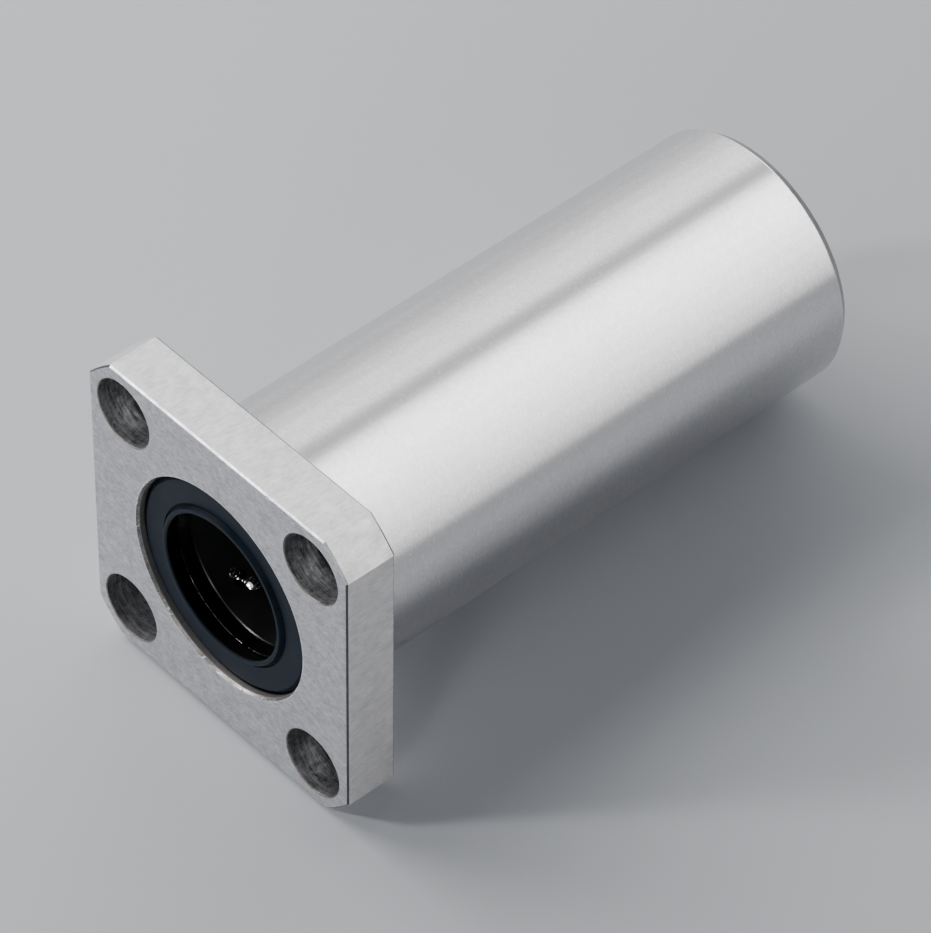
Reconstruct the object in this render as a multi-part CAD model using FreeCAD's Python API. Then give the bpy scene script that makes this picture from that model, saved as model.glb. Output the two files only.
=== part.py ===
import FreeCAD, Part

import math
import os

# Linear ball bearing with a square flange and a long body, sealed at both ends.
# Sizes are millimetres. The bore runs along Y. The origin is the bore centre in the flange's
# seating face: the flange stands in front of it, towards -Y, and the barrel behind, towards +Y.
# Angles about the bore start at +X and turn towards +Z.

# Shaft and outside form
SHAFT_R = 8.0
BARREL_R = 14.0
LENGTH = 70.0
RIM_CHAMFER_R = 0.7
RIM_CHAMFER_LENGTH = 0.95
UNDERCUT_WIDTH = 1.0
UNDERCUT_DEPTH = 0.2
FLANGE_SIDE = 37.0
FLANGE_CORNER_R = 24.0
FLANGE_T = 6.0
FLANGE_EDGE_BREAK = 0.25

# Counterbored fixing holes
BOLT_COUNT = 4
BOLT_CIRCLE_R = 19.0
BOLT_FIRST_ANGLE = 45.0
BOLT_HOLE_R = 2.25
HEAD_POCKET_R = 3.75
HEAD_POCKET_DEPTH = 4.1
HEAD_POCKET_CHAMFER = 0.1

# End seals
END_BORE_R = 12.0
MOUTH_BREAK_R = 0.15
MOUTH_BREAK_DEPTH = 0.3
SEAL_SETBACK = 0.7
SEAL_T = 1.4
SEAL_OUTER_CHAMFER = 0.6
LIP_R = SHAFT_R
LIP_FRONT = 0.25
LIP_LAND_START = 0.35
LIP_LAND_END = 0.6
LIP_FACE_R = 8.15
LIP_OUTER_R = 8.5
LIP_FOOT_R = 8.65
LIP_BACK_END = 1.1
SEAL_GROOVE_R = 8.9
SEAL_GROOVE_DEPTH = 0.15
SEAL_BACK_R = 8.8

# Open retaining rings behind the seals
RING_T = 1.6
RING_INNER_R = 8.5
RING_GROOVE_R = 12.2
RING_GAP_START = 275.0
RING_GAP_ANGLE = 6.0
RING_EDGE_BREAK = 0.1

# Balls and the closed tracks that they run round
CAGE_COUNT = 2
TRACK_COUNT = 5
TRACK_FIRST_ANGLE = 245.0
BALL_R = 1.25
ROW_BALLS = 7
TURN_BALLS = 3
TURN_BALL_GAP = 0.02
TRACK_CLEARANCE = 0.08

# Cages, lands and spacer
CAGE_INNER_R = 8.35
CAGE_OUTER_R = 10.45
CAGE_END_WALL = 1.5
CAGE_EDGE_BREAK = 0.1
LAND_CLEARANCE = 0.03
GUIDE_LAND_OVERLAP = 0.75
SPACER_INNER_R = 8.6

# A turn's balls stand on a half circle, as many to the half turn as to that length of row.
BALL_D = 2 * BALL_R
TURN_STEP = math.pi / TURN_BALLS
TURN_R = (BALL_D + TURN_BALL_GAP) / (2 * math.sin(TURN_STEP / 2))
BALL_PITCH = TURN_R * TURN_STEP
ROW_LENGTH = ROW_BALLS * BALL_PITCH
ROW_SPACING = 2 * TURN_R

# The track's plane touches the loaded row's circle, so only that row reaches the shaft.
LOADED_ROW_R = SHAFT_R + BALL_R
RETURN_ROW_R = math.hypot(LOADED_ROW_R, ROW_SPACING)
TRACK_R = BALL_R + TRACK_CLEARANCE
LAND_R = SHAFT_R + BALL_D + LAND_CLEARANCE
RELIEF_R = RETURN_ROW_R + TRACK_R

# Stations along the bore
FRONT = -FLANGE_T
REAR = LENGTH - FLANGE_T
MIDDLE = (FRONT + REAR) / 2
RING_START = SEAL_SETBACK + SEAL_T
CAGE_START = RING_START + RING_T
CAGE_LENGTH = ROW_LENGTH + 2 * (TURN_R + BALL_R + CAGE_END_WALL)
SPACER_LENGTH = LENGTH - 2 * CAGE_START - CAGE_COUNT * CAGE_LENGTH

ORIGIN = FreeCAD.Vector(0, 0, 0)
BORE_AXIS = FreeCAD.Vector(0, 1, 0)
CAGE_NAMES = ("front", "rear")


def on_circle(radius, degrees, y=0.0):
    """Point at a radius and angle about the bore."""
    angle = math.radians(degrees)
    return FreeCAD.Vector(radius * math.cos(angle), y, radius * math.sin(angle))


def bar(radius, start, length):
    """Cylinder along the bore's direction from a starting point."""
    return Part.makeCylinder(radius, length, start, BORE_AXIS)


def turned(profile):
    """Solid of revolution about the bore from its (radius, y) corners."""
    corners = [FreeCAD.Vector(radius, y, 0) for radius, y in profile]
    section = Part.Face(Part.makePolygon(corners + corners[:1]))
    return section.revolve(ORIGIN, BORE_AXIS, 360)


def from_both_ends(profile):
    """Turned solids from (radius, depth) corners, with depth counted in from each end."""
    front_solid = turned([(radius, FRONT + depth) for radius, depth in profile])
    rear_solid = turned([(radius, REAR - depth) for radius, depth in profile])
    return front_solid, rear_solid


def flange_plate():
    """Square plate whose corners are arcs of one circle, with its edges broken."""
    half = FLANGE_SIDE / 2
    square = Part.makeBox(FLANGE_SIDE, FLANGE_T, FLANGE_SIDE, FreeCAD.Vector(-half, FRONT, -half))
    plate = square.common(bar(FLANGE_CORNER_R, FreeCAD.Vector(0, FRONT, 0), FLANGE_T))
    outline = [edge for edge in plate.Edges if abs(edge.BoundBox.YLength) < 0.001]
    return plate.makeChamfer(FLANGE_EDGE_BREAK, outline)


def fixing_hole(degrees):
    """Cutter for one screw hole with its head pocket and the pocket's chamfer."""
    centre = on_circle(BOLT_CIRCLE_R, degrees, FRONT)
    through = bar(BOLT_HOLE_R, centre, FLANGE_T)
    pocket = bar(HEAD_POCKET_R, centre, HEAD_POCKET_DEPTH)
    mouth = Part.makeCone(
        HEAD_POCKET_R + HEAD_POCKET_CHAMFER, HEAD_POCKET_R, HEAD_POCKET_CHAMFER, centre, BORE_AXIS
    )
    return through.fuse([pocket, mouth])


def barrel():
    """Ground outside of the body, with a chamfered rim."""
    return turned([
        (0, FRONT),
        (BARREL_R, FRONT),
        (BARREL_R, REAR - RIM_CHAMFER_LENGTH),
        (BARREL_R - RIM_CHAMFER_R, REAR),
        (0, REAR),
    ])


def corner_undercut():
    """Cutter for the grinding relief where the barrel meets the flange, cut a little into both."""
    inner_r = BARREL_R - UNDERCUT_DEPTH
    outer_r = BARREL_R + UNDERCUT_WIDTH - UNDERCUT_DEPTH
    return turned([
        (inner_r, -UNDERCUT_DEPTH),
        (outer_r - UNDERCUT_DEPTH, -UNDERCUT_DEPTH),
        (outer_r, 0),
        (BARREL_R, UNDERCUT_WIDTH),
        (inner_r, UNDERCUT_WIDTH - UNDERCUT_DEPTH),
    ])


def bore_profile():
    """Steps of the bore from one end to the middle, as (radius, depth) corners."""
    near_turn = CAGE_START + CAGE_END_WALL + BALL_R + TURN_R
    far_turn = near_turn + ROW_LENGTH
    middle_land = CAGE_START + CAGE_LENGTH - GUIDE_LAND_OVERLAP
    return [
        (END_BORE_R + MOUTH_BREAK_R, 0),
        (END_BORE_R, MOUTH_BREAK_DEPTH),
        (END_BORE_R, RING_START),
        (RING_GROOVE_R, RING_START),
        (RING_GROOVE_R, CAGE_START),
        (LAND_R, CAGE_START),
        (LAND_R, CAGE_START + GUIDE_LAND_OVERLAP),
        (RELIEF_R, CAGE_START + GUIDE_LAND_OVERLAP),
        (RELIEF_R, near_turn),
        (LAND_R, near_turn),
        (LAND_R, far_turn),
        (RELIEF_R, far_turn),
        (RELIEF_R, middle_land),
        (LAND_R, middle_land),
    ]


def bore_cutter():
    """Whole stepped bore, the same from each end."""
    steps = bore_profile()
    front_half = [(radius, FRONT + depth) for radius, depth in steps]
    rear_half = [(radius, REAR - depth) for radius, depth in reversed(steps)]
    return turned([(0, FRONT)] + front_half + rear_half + [(0, REAR)])


def cage_middle(cage):
    """Place along the bore of a cage's middle: cage 0 is at the flange, cage 1 behind it."""
    side = 2 * cage - 1
    return MIDDLE + side * (CAGE_LENGTH + SPACER_LENGTH) / 2


class Track:
    """One closed ball track: a loaded row, a return row and a half turn at each end.

    The track is flat. Across it, 0 is the loaded row and ROW_SPACING the return row.
    """

    def __init__(self, cage, number):
        self.middle = cage_middle(cage)
        self.angle = TRACK_FIRST_ANGLE + number * 360 / TRACK_COUNT
        self.outward = on_circle(1, self.angle)
        self.across = on_circle(1, self.angle - 90)

    def point(self, across, along):
        """Point on the track's plane, with along counted from the cage's middle."""
        place = self.outward * LOADED_ROW_R + self.across * across
        return place + BORE_AXIS * (self.middle + along)

    def row(self, across):
        """Balls of one straight row."""
        places = [(ball + 0.5) * BALL_PITCH - ROW_LENGTH / 2 for ball in range(ROW_BALLS)]
        return [self.point(across, along) for along in places]

    def turn(self, side):
        """Balls of the half turn at one end: side is -1 towards the flange, 1 away from it."""
        angles = [(ball + 0.5) * TURN_STEP for ball in range(TURN_BALLS)]
        return [
            self.point(
                TURN_R - TURN_R * math.cos(angle), side * (ROW_LENGTH / 2 + TURN_R * math.sin(angle))
            )
            for angle in angles
        ]

    def balls(self):
        """Ball centres of the track's four stretches, by name."""
        return {
            "loaded_row": self.row(0),
            "return_row": self.row(ROW_SPACING),
            "near_turn": self.turn(-1),
            "far_turn": self.turn(1),
        }

    def channel(self):
        """Cutters for the channel: two straight bars and the two half rings that join them."""
        rows = [bar(TRACK_R, self.point(across, -ROW_LENGTH / 2), ROW_LENGTH) for across in (0, ROW_SPACING)]
        turns = []
        for side in (-1, 1):
            section_centre = self.point(0, side * ROW_LENGTH / 2)
            section = Part.Face(Part.Wire(Part.makeCircle(TRACK_R, section_centre, BORE_AXIS)))
            turn_centre = self.point(TURN_R, side * ROW_LENGTH / 2)
            turns.append(section.revolve(turn_centre, self.outward * -side, 180))
        return rows + turns

    def flute(self):
        """Cutter for the sleeve's groove over the return row."""
        return bar(TRACK_R, self.point(ROW_SPACING, -ROW_LENGTH / 2), ROW_LENGTH)


def tracks(cage):
    """All the tracks of one cage."""
    return [Track(cage, number) for number in range(TRACK_COUNT)]


def flanged_sleeve():
    """Flange and outer cylinder in one piece, with lands, flutes and turning grooves inside."""
    holes = [
        fixing_hole(BOLT_FIRST_ANGLE + number * 360 / BOLT_COUNT) for number in range(BOLT_COUNT)
    ]
    body = flange_plate().cut(holes).fuse(barrel()).cut(corner_undercut())
    flutes = [track.flute() for cage in range(CAGE_COUNT) for track in tracks(cage)]
    return body.cut(bore_cutter()).cut(flutes).removeSplitter()


def ball_cage(cage):
    """Thin tube that holds the balls of five tracks and lets the loaded rows through."""
    start = cage_middle(cage) - CAGE_LENGTH / 2
    end = start + CAGE_LENGTH
    tube = turned([
        (CAGE_INNER_R + CAGE_EDGE_BREAK, start),
        (CAGE_OUTER_R - CAGE_EDGE_BREAK, start),
        (CAGE_OUTER_R, start + CAGE_EDGE_BREAK),
        (CAGE_OUTER_R, end - CAGE_EDGE_BREAK),
        (CAGE_OUTER_R - CAGE_EDGE_BREAK, end),
        (CAGE_INNER_R + CAGE_EDGE_BREAK, end),
        (CAGE_INNER_R, end - CAGE_EDGE_BREAK),
        (CAGE_INNER_R, start + CAGE_EDGE_BREAK),
    ])
    for track in tracks(cage):
        tube = tube.cut(track.channel())
    return tube


def spacer_ring():
    """Plain ring that keeps the two cages apart."""
    start = MIDDLE - SPACER_LENGTH / 2
    end = MIDDLE + SPACER_LENGTH / 2
    return turned([
        (SPACER_INNER_R, start),
        (CAGE_OUTER_R, start),
        (CAGE_OUTER_R, end),
        (SPACER_INNER_R, end),
    ])


def end_seals():
    """Moulded seal at each end: a flat collar, and a raised, undercut lip that wipes the shaft."""
    return from_both_ends([
        (LIP_R, LIP_LAND_START),
        (LIP_FACE_R, LIP_FRONT),
        (LIP_OUTER_R, LIP_FRONT),
        (LIP_FOOT_R, SEAL_SETBACK + SEAL_GROOVE_DEPTH),
        (SEAL_GROOVE_R, SEAL_SETBACK + SEAL_GROOVE_DEPTH),
        (SEAL_GROOVE_R, SEAL_SETBACK),
        (END_BORE_R - SEAL_OUTER_CHAMFER, SEAL_SETBACK),
        (END_BORE_R, SEAL_SETBACK + SEAL_OUTER_CHAMFER),
        (END_BORE_R, RING_START),
        (SEAL_BACK_R, RING_START),
        (SEAL_BACK_R, LIP_BACK_END),
        (LIP_R, LIP_LAND_END),
    ])


def retaining_rings():
    """Open spring ring at each end, sprung into the sleeve's groove against the cage."""
    closed_rings = from_both_ends([
        (RING_INNER_R + RING_EDGE_BREAK, RING_START),
        (RING_GROOVE_R, RING_START),
        (RING_GROOVE_R, CAGE_START),
        (RING_INNER_R + RING_EDGE_BREAK, CAGE_START),
        (RING_INNER_R, CAGE_START - RING_EDGE_BREAK),
        (RING_INNER_R, RING_START + RING_EDGE_BREAK),
    ])
    return [ring.cut(ring_gap()) for ring in closed_rings]


def ring_gap():
    """Sector that opens both retaining rings."""
    reach = 2 * RING_GROOVE_R
    near = on_circle(reach, RING_GAP_START, FRONT)
    far = on_circle(reach, RING_GAP_START + RING_GAP_ANGLE, FRONT)
    centre = FreeCAD.Vector(0, FRONT, 0)
    sector = Part.Face(Part.makePolygon([centre, near, far, centre]))
    return sector.extrude(BORE_AXIS * LENGTH)


def ball_group(centres):
    """Separate balls at the given centres, as one group."""
    return Part.makeCompound([Part.makeSphere(BALL_R, centre) for centre in centres])


def all_pieces():
    """Every piece of the bearing by its node name."""
    pieces = {"flanged_sleeve": flanged_sleeve(), "spacer_ring": spacer_ring()}
    for name, seal, ring in zip(CAGE_NAMES, end_seals(), retaining_rings()):
        pieces[f"{name}_end_seal"] = seal
        pieces[f"{name}_retaining_ring"] = ring
    for cage, name in enumerate(CAGE_NAMES):
        pieces[f"{name}_ball_cage"] = ball_cage(cage)
        for number, track in enumerate(tracks(cage), start=1):
            for stretch, centres in track.balls().items():
                pieces[f"{name}_{stretch}_balls_{number}"] = ball_group(centres)
    return pieces


def write_pieces():
    """Write each piece to its own file and print its volume."""
    os.makedirs("parts", exist_ok=True)
    for name, shape in all_pieces().items():
        shape.exportStep(f"parts/{name}.step")
        print(f"{name}: {len(shape.Solids)} solids, {shape.Volume:.2f} mm3, valid {shape.isValid()}")


write_pieces()
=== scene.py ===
"""Looks of a long linear ball bearing with a square flange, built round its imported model.

Sizes are millimetres and become metres when a mesh is made. The bore runs along Y, the flange's
front face looks to -Y, and its back face, where the barrel starts, lies at Y = 0.
"""
import logging
import math
from dataclasses import dataclass, field
from enum import Enum

import bmesh
import bpy
import numpy as np
from mathutils import Matrix, Vector


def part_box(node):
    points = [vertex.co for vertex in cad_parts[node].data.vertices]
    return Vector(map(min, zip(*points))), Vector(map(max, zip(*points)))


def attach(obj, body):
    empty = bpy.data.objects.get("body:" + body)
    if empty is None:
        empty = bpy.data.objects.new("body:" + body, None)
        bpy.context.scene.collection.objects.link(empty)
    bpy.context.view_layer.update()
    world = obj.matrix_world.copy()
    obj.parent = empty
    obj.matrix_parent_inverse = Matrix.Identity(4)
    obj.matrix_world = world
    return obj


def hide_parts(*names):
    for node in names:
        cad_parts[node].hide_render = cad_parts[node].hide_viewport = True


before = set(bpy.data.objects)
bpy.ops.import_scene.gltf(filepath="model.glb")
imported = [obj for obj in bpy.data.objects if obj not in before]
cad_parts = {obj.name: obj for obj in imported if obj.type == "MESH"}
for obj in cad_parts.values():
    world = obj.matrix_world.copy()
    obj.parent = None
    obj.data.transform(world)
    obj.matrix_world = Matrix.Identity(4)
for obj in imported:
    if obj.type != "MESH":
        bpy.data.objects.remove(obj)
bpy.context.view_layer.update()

MM = 0.001
HOUSING = "housing"
BORE_MIDDLE = 29.0
SOFTBOX_DISTANCE = 640.0
WATTS_TO_RADIANCE = 4
STRAIGHT_TURN = 1e-4
WELD_DISTANCE = 0.0005
SLIVER_LENGTH = 0.0002
ANGLE_SLACK = 1e-6
ENDS = ("front", "rear")
REPLACED = ("sleeve", "seal", "retaining")
LOG = logging.getLogger("bearing")
Colour = tuple[float, float, float]
Socket = bpy.types.NodeSocket
Value = Socket | float | Colour


class Zone(Enum):
    """Finishes of the sleeve, in the order of its material slots."""

    BARREL = 0
    FACE = 1
    EDGE = 2
    BEVEL = 3
    RIM = 4
    POCKET = 5
    BORE = 6
    MOUTH = 7
    MARGIN = 8
    POCKET_EDGE = 9


class SealZone(Enum):
    """Finishes of an end seal: its outer face, and its deep places, the groove and the throat, which carry
    painted shade.
    """

    FACE = 0
    THROAT = 1


class RingZone(Enum):
    """Finishes of a retaining ring: its body, and its edges, with worn dashes and a painted highlight low in
    the bore.
    """

    BODY = 0
    EDGE = 1


class Reach(Enum):
    """What a light falls on: everything, everything but the floor, or the balls alone."""

    ALL = 0
    PART = 1
    BALLS = 2


@dataclass(frozen=True)
class Corner:
    """Corner of a turned profile, with the radius that softens it and the finish that starts there."""

    radius: float
    y: float
    soft: float = 0.0
    zone: Enum | None = None


@dataclass
class Profile:
    """Points of a turned profile as rows of (radius, y), and the slot of each band between them."""

    points: np.ndarray
    bands: np.ndarray

    def placed(self, end: float, inward: float) -> "Profile":
        """The profile with its depths counted from an end face: y = end + inward * depth."""
        return Profile(np.stack([self.points[:, 0], end + inward * self.points[:, 1]], axis=1), self.bands)


def softened(corners: list[Corner], steps: int = 5) -> Profile:
    """Profile through the corners, each one rounded by a tangent arc.

    The arc of a corner starts where its tangent length, soft times the tangent of half the
    turn, has been walked back along the incoming side. The arc takes its corner's finish.

    Args:
        corners: Corners in order; the first and last are kept sharp.
        steps: Segments in each arc.

    Returns:
        The profile.
    """
    places = np.array([(corner.radius, corner.y) for corner in corners])
    points = [places[:1]]
    slot = corners[0].zone.value if corners[0].zone else 0
    bands = [slot]
    for before, here, after, corner in zip(places, places[1:], places[2:], corners[1:]):
        into = (here - before) / np.linalg.norm(here - before)
        out = (after - here) / np.linalg.norm(after - here)
        turn = math.acos(float(np.clip(into @ out, -1, 1)))
        slot = corner.zone.value if corner.zone else slot
        if corner.soft == 0 or turn < STRAIGHT_TURN:
            points.append(here[None])
            bands += [slot]
            continue
        tangent = corner.soft * math.tan(turn / 2)
        side = math.copysign(1.0, into[0] * out[1] - into[1] * out[0])
        across = side * np.array([-into[1], into[0]])
        centre = here - into * tangent + across * corner.soft
        angles = np.linspace(0, turn, steps + 1)[:, None]
        points.append(centre - across * corner.soft * np.cos(angles) + into * corner.soft * np.sin(angles))
        bands += [slot] * (steps + 1)
    points.append(places[-1:])
    return Profile(np.concatenate(points), np.array(bands))


def revolved(profile: np.ndarray, angles: np.ndarray) -> np.ndarray:
    """Surface of revolution about the bore: (r cos a, y, r sin a).

    Args:
        profile: Rows of (radius, y), or an array of rows by angles by 2.
        angles: Angles about the bore in degrees.

    Returns:
        Points as a grid of rows by angles by 3.
    """
    table = profile if profile.ndim == 3 else np.repeat(profile[:, None, :], len(angles), axis=1)
    turn = np.radians(angles)[None, :]
    radius, y = table[..., 0], table[..., 1]
    return np.stack([radius * np.cos(turn), y, radius * np.sin(turn)], axis=-1)


@dataclass
class Shell:
    """Grids of points that are welded into one closed mesh."""

    vertices: list[np.ndarray] = field(default_factory=list)
    quads: list[np.ndarray] = field(default_factory=list)
    zones: list[np.ndarray] = field(default_factory=list)
    count: int = 0

    def add(self, grid: np.ndarray, bands: int | np.ndarray = 0, closed: bool = False) -> None:
        """Adds a grid of points and the quads between its rows and columns.

        Args:
            grid: Points as rows by columns by 3, in millimetres.
            bands: Material slot of all quads, or of each band between two rows.
            closed: True if the last column joins the first.
        """
        rows, columns = grid.shape[:2]
        index = self.count + np.arange(rows * columns).reshape(rows, columns)
        right = np.roll(index, -1, axis=1)
        if not closed:
            index, right = index[:, :-1], right[:, :-1]
        quads = np.stack([index[:-1], right[:-1], right[1:], index[1:]], axis=-1).reshape(-1, 4)
        self.vertices.append(grid.reshape(-1, 3))
        self.quads.append(quads)
        self.zones.append(np.repeat(np.broadcast_to(bands, rows - 1), len(quads) // (rows - 1)))
        self.count += rows * columns

    def build(self, name: str, sharp_angle: float = 24.0) -> bpy.types.Object:
        """Makes the mesh, welds its grids, and turns its faces outwards.

        Args:
            name: Name of the piece.
            sharp_angle: Edges that turn by more than this, in degrees, stay sharp.

        Returns:
            The piece, at the origin.
        """
        mesh = bpy.data.meshes.new(name)
        mesh.from_pydata(np.concatenate(self.vertices) * MM, [], np.concatenate(self.quads).tolist())
        mesh.polygons.foreach_set("material_index", np.concatenate(self.zones).astype(np.int32))
        work = bmesh.new()
        work.from_mesh(mesh)
        bmesh.ops.remove_doubles(work, verts=work.verts, dist=WELD_DISTANCE * MM)
        bmesh.ops.dissolve_degenerate(work, edges=work.edges, dist=SLIVER_LENGTH * MM)
        bmesh.ops.recalc_face_normals(work, faces=work.faces)
        open_edges = sum(not edge.is_manifold for edge in work.edges)
        work.to_mesh(mesh)
        work.free()
        mesh.polygons.foreach_set("use_smooth", np.ones(len(mesh.polygons), dtype=bool))
        mesh.set_sharp_from_angle(angle=math.radians(sharp_angle))
        piece = bpy.data.objects.new(name, mesh)
        bpy.context.scene.collection.objects.link(piece)
        weights = piece.modifiers.new("even_normals", "WEIGHTED_NORMAL")
        weights.keep_sharp = True
        LOG.info("%s: %d faces, %d open edges", name, len(mesh.polygons), open_edges)
        return piece


class Shader:
    """Node tree of one material, with short calls for the nodes that the finishes share."""

    # Heights in millimetres below which the painted highlight low in the bore starts, and is full.
    PAINTED_HIGHLIGHT_START_Z = -2.5
    PAINTED_HIGHLIGHT_FULL_Z = -6.5

    def __init__(self, name: str, **values: float) -> None:
        """Starts a material with a principled shader.

        Args:
            name: Name of the material.
            values: Numbers for the shader's sockets, with _ for a space in their names.
        """
        self.material = bpy.data.materials.new(name)
        self.material.use_nodes = True
        self.tree = self.material.node_tree
        self.surface = self.tree.nodes["Principled BSDF"]
        self.coordinates = self.tree.nodes.new("ShaderNodeTexCoord").outputs["Object"]
        for socket, value in values.items():
            self.feed(socket.replace("_", " "), value)

    def put(self, target: Socket, value: Value) -> None:
        """Links a socket's value to a target, or sets the target to a number, vector or colour."""
        if isinstance(value, Socket):
            self.tree.links.new(value, target)
        else:
            target.default_value = (*value, 1) if target.type == "RGBA" else value

    def feed(self, socket: str, value: Value) -> None:
        """Links or sets a socket of the principled shader."""
        self.put(self.surface.inputs[socket], value)

    def add(self, kind: str, output: int | str, inputs: dict[int | str, Value], **settings: str) -> Socket:
        """Adds one node.

        Args:
            kind: Type of the node, without ShaderNode.
            output: Name or number of the output that is wanted.
            inputs: Values of the node's inputs, by name or number.
            settings: Properties of the node itself.

        Returns:
            The output.
        """
        node = self.tree.nodes.new(f"ShaderNode{kind}")
        for name, setting in settings.items():
            setattr(node, name, setting)
        for socket, value in inputs.items():
            self.put(node.inputs[socket], value)
        return node.outputs[output]

    def stretched(self, scale: Colour, turn: float) -> Socket:
        """Object coordinates turned about Y by some degrees, then scaled along X, Y and Z."""
        source = self.coordinates
        if turn:
            source = self.add("Mapping", "Vector", {"Vector": source, "Rotation": (0, math.radians(turn), 0)})
        return self.add("Mapping", "Vector", {"Vector": source, "Scale": scale})

    def noise(self, coordinates: Socket, detail: float = 3.0, roughness: float = 0.5) -> Socket:
        """Soft noise with one wave to the unit of its coordinates."""
        inputs = {"Vector": coordinates, "Scale": 1.0, "Detail": detail, "Roughness": roughness}
        return self.add("TexNoise", "Fac", inputs)

    def grain(
        self, counts: float | Colour, detail: float = 3.0, roughness: float = 0.5, turn: float = 0.0
    ) -> Socket:
        """Noise with so many waves to the metre, either one count or one each along X, Y and Z."""
        scale = counts if isinstance(counts, tuple) else (counts,) * 3
        return self.noise(self.stretched(scale, turn), detail, roughness)

    def span(self, value: Socket, low: float, high: float, start: float = 0.3, end: float = 0.7) -> Socket:
        """Maps a value from start..end to low..high, clamped."""
        inputs = {"Value": value, "From Min": start, "From Max": end, "To Min": low, "To Max": high}
        return self.add("MapRange", "Result", inputs)

    def blended(self, share: Socket, first: Value, second: Value) -> Socket:
        """Mixes two colours by a share."""
        return self.add("Mix", 2, {0: share, 6: first, 7: second}, data_type="RGBA")

    def math(self, operation: str, first: Socket, second: Value) -> Socket:
        """Result of one arithmetic node."""
        return self.add("Math", 0, {0: first, 1: second}, operation=operation)

    def mingled(self, *layers: tuple[Socket, float]) -> Socket:
        """Sum of patterns, each times its weight."""
        total = self.math("MULTIPLY", *layers[0])
        for pattern, weight in layers[1:]:
            total = self.math("ADD", total, self.math("MULTIPLY", pattern, weight))
        return total

    def axes(self, source: Socket) -> tuple[Socket, ...]:
        """X, Y and Z of a vector."""
        parts = self.tree.nodes.new("ShaderNodeSeparateXYZ")
        self.put(parts.inputs[0], source)
        return tuple(parts.outputs)

    def around(self, centre: float, fine: float, coarse: float) -> Socket:
        """Coordinates that run quickly away from an axis along Y and slowly round it.

        X and Z lose their signs first, so that one axis serves the four screw holes. The quick
        coordinate is the distance from the axis plus y: it crosses tool marks on walls and floors.

        Args:
            centre: Place of the axis along X and along Z in millimetres.
            fine: Repeats to the metre of the quick coordinate.
            coarse: Repeats to the metre of the slow ones.

        Returns:
            The coordinates.
        """
        place = self.coordinates
        for operation, amount in (
            ("ABSOLUTE", (0, 0, 0)),
            ("SUBTRACT", (centre * MM, 0, centre * MM)),
            ("MULTIPLY", (1, 0, 1)),
        ):
            place = self.add("VectorMath", "Vector", {0: place, 1: amount}, operation=operation)
        length = self.add("VectorMath", "Value", {0: place}, operation="LENGTH")
        quick = self.math("ADD", length, self.axes(self.coordinates)[1])
        x, _, z = self.axes(place)
        pairs = zip((quick, x, z), (fine, coarse, coarse))
        scaled = [self.math("MULTIPLY", part, count) for part, count in pairs]
        return self.add("CombineXYZ", 0, dict(enumerate(scaled)))

    def mouth(self, radius: float, reach: float) -> Socket:
        """1 where the bore's radius is under one limit and the distance from its middle over another.

        Args:
            radius: Largest radius in millimetres.
            reach: Smallest distance along Y from the middle of the bore in millimetres.

        Returns:
            The mask.
        """
        x, y, z = self.axes(self.coordinates)
        square = self.math("ADD", self.math("MULTIPLY", x, x), self.math("MULTIPLY", z, z))
        inside = self.math("LESS_THAN", square, (radius * MM) ** 2)
        along = self.math("ABSOLUTE", self.math("SUBTRACT", y, BORE_MIDDLE * MM), 0.0)
        return self.math("MULTIPLY", inside, self.math("GREATER_THAN", along, reach * MM))

    def painted_highlight_low_mask(self) -> Socket:
        """Mask of the bore's lowest part, where the edges get a painted highlight."""
        height = self.axes(self.coordinates)[2]
        return self.span(height, 1.0, 0.0, self.PAINTED_HIGHLIGHT_FULL_Z * MM, self.PAINTED_HIGHLIGHT_START_Z * MM)

    def relief(self, height: Socket, depth: float, under: Socket | None = None) -> Socket:
        """Bump of a height pattern.

        Args:
            height: Pattern from 0 to 1.
            depth: Height of the pattern in millimetres.
            under: Normal of a coarser bump below this one.

        Returns:
            The bumped normal.
        """
        below = {} if under is None else {"Normal": under}
        return self.add("Bump", "Normal", {"Distance": depth * MM, "Height": height, **below})


@dataclass(frozen=True)
class GroundSteel:
    """Bearing steel with short grinding strokes, faint clouds and small glints.

    Grain is the number of strokes to the metre along X, Y and Z: they run where it is small.
    Blotches is the number of clouds to the metre, and blotch_share their weight in the tone.
    """

    SWEEP_COUNT = 0.45
    FACET_COUNT = 1.3
    WEIGHTS = (0.6, 0.4)
    TONES = (0.38, 0.62)
    ROUGH_TONES = (0.36, 0.64)
    GLINTS = (0.64, 0.74)
    GLINT = (0.96, 0.96, 0.95)
    STROKE_DEPTH = 0.6

    name: str
    light: Colour
    dark: Colour
    smoothest: float
    roughest: float
    grain: Colour
    grain_depth: float
    grain_turn: float = 0.0
    glint: float = 0.0
    blotches: float = 150.0
    blotch_share: float = 0.2

    def make(self) -> bpy.types.Material:
        """Makes the material."""
        shader = Shader(self.name, Metallic=1.0)
        longer, shorter = (
            tuple(times * count for count in self.grain) for times in (self.SWEEP_COUNT, self.FACET_COUNT)
        )
        strokes = shader.grain(self.grain, detail=2.0, roughness=0.6, turn=self.grain_turn)
        sweeps = shader.grain(longer, roughness=0.6, turn=-self.grain_turn)
        clouds = shader.grain(self.blotches, detail=5.0, roughness=0.6)
        share = self.blotch_share
        stroke_weight, sweep_weight = (weight * (1 - share) for weight in self.WEIGHTS)
        tone = shader.mingled((strokes, stroke_weight), (sweeps, sweep_weight), (clouds, share))
        colour = shader.blended(shader.span(tone, 0.0, 1.0, *self.TONES), self.dark, self.light)
        glints = shader.span(shader.grain(shorter, detail=1.0), 0.0, self.glint, *self.GLINTS)
        shader.feed("Base Color", shader.blended(glints, colour, self.GLINT))
        shader.feed("Roughness", shader.span(tone, self.roughest, self.smoothest, *self.ROUGH_TONES))
        coarse = shader.relief(sweeps, self.grain_depth)
        shader.feed("Normal", shader.relief(strokes, self.grain_depth * self.STROKE_DEPTH, under=coarse))
        return shader.material


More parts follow.
